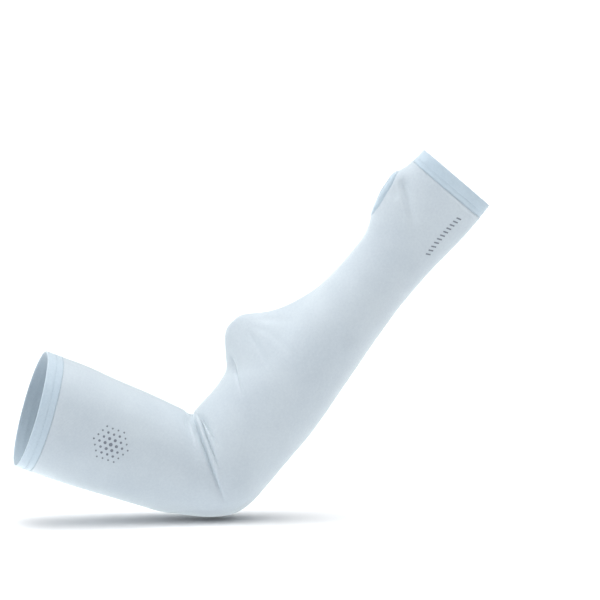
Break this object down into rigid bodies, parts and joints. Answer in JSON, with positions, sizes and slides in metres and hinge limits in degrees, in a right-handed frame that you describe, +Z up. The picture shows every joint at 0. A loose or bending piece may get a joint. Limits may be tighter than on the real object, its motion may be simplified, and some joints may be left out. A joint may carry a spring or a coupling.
{
  "type": "cooling arm sleeve",
  "caption": "Thin knitted cooling arm sleeve with a thumb hole, worn on a bent arm: an open tube with hemmed ends and cloth pinched out from the inner forearm.",
  "frame": {"origin": "the middle of the elbow, on the line that runs down the middle of the sleeve", "axes": "+Z up, +X from the upper arm towards the hand, the bend of the elbow in the XZ plane, -Y the side that faces the viewer"},
  "size_m": [0.4095, 0.1185, 0.3172],
  "materials": {
    "knit": "smooth fine nylon and elastane knit with a soft sheen",
    "hem": "the same knit turned in double and cover-stitched",
    "binding": "the same knit folded over the cut edge as a narrow band"
  },
  "bodies": {
    "root": {"sleeve_body": "knit", "upper_arm_hem": "hem", "hand_hem": "hem", "thumb_hole_binding": "binding"}
  },
  "joints": []
}
